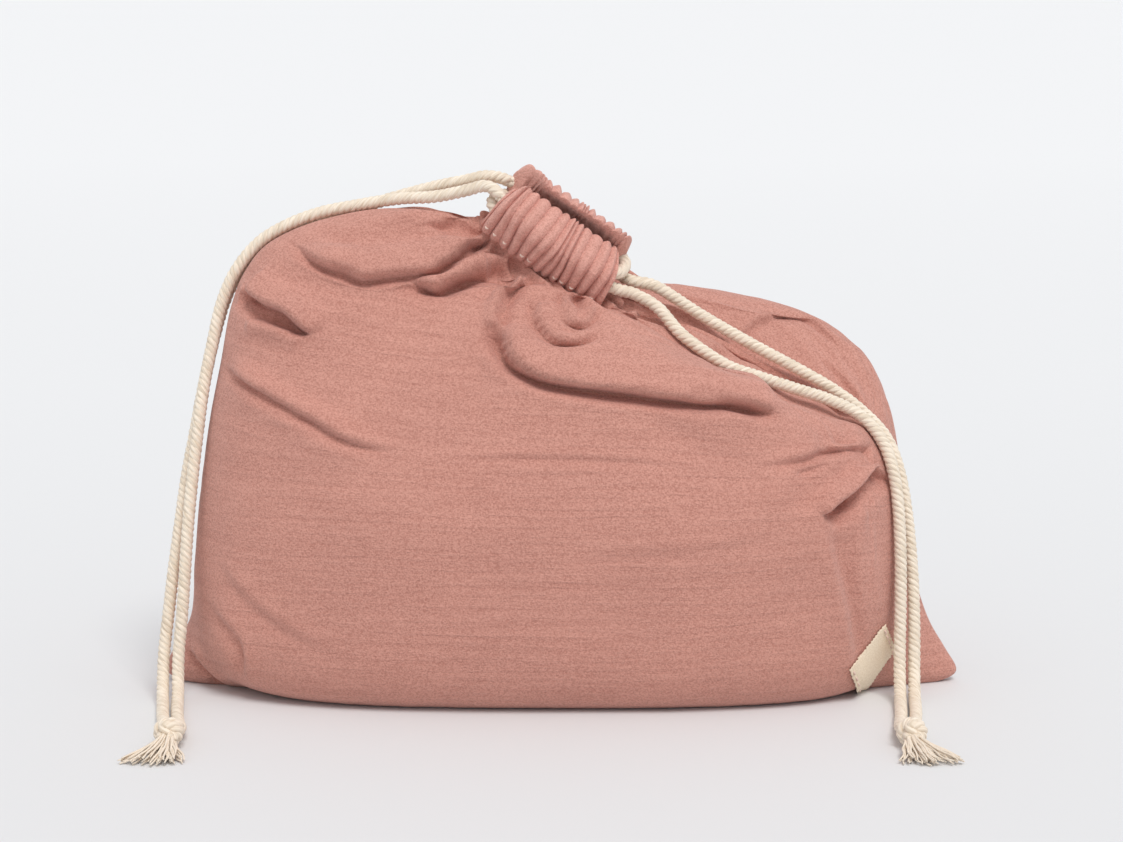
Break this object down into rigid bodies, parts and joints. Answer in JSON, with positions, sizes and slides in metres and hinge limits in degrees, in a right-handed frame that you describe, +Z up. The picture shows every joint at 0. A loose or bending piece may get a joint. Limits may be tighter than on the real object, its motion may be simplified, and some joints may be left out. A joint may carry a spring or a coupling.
{
  "type": "drawstring lunch bag",
  "caption": "Filled drawstring lunch bag of crinkled cotton gauze with a gathered neck, twisted cotton cords, end knots and tassels.",
  "frame": {"origin": "on the resting surface, under the middle of the bag between its two bottom corners and between its front and back", "axes": "+Z up; +X from the left bottom corner to the right one as seen from the front; the front with the label faces -Y"},
  "size_m": [0.3214, 0.1748, 0.2098],
  "materials": {
    "gauze": "crinkled cotton double gauze, dusty rose",
    "gauze_hem": "gathered cotton double gauze, dusty rose",
    "label_cloth": "woven cotton label, bare",
    "cotton_cord": "twisted three-ply cotton cord, natural cream",
    "knotted_cord": "knotted and combed-out cotton cord, natural cream"
  },
  "bodies": {
    "bag": {"front_panel": "gauze", "back_panel": "gauze", "front_channel": "gauze_hem", "back_channel": "gauze_hem", "side_label": "label_cloth", "left_cord_run": "cotton_cord", "right_cord_run": "cotton_cord", "left_front_tail": "cotton_cord", "left_back_tail": "cotton_cord", "right_front_tail": "cotton_cord", "right_back_tail": "cotton_cord"},
    "left_pull": {"left_knot": "knotted_cord", "left_tassel": "knotted_cord", "left_front_tail_end": "cotton_cord", "left_back_tail_end": "cotton_cord"},
    "right_pull": {"right_knot": "knotted_cord", "right_tassel": "knotted_cord", "right_front_tail_end": "cotton_cord", "right_back_tail_end": "cotton_cord"}
  },
  "joints": [
    {"name": "left_cord_pull", "type": "slide", "parent": "bag", "child": "left_pull", "axis": [0, 1, 0], "range_m": [0, 0.025], "deforming": ["left_front_tail_end", "left_back_tail_end"]},
    {"name": "right_cord_pull", "type": "slide", "parent": "bag", "child": "right_pull", "axis": [0, 1, 0], "range_m": [0, 0.025], "deforming": ["right_front_tail_end", "right_back_tail_end"]}
  ]
}
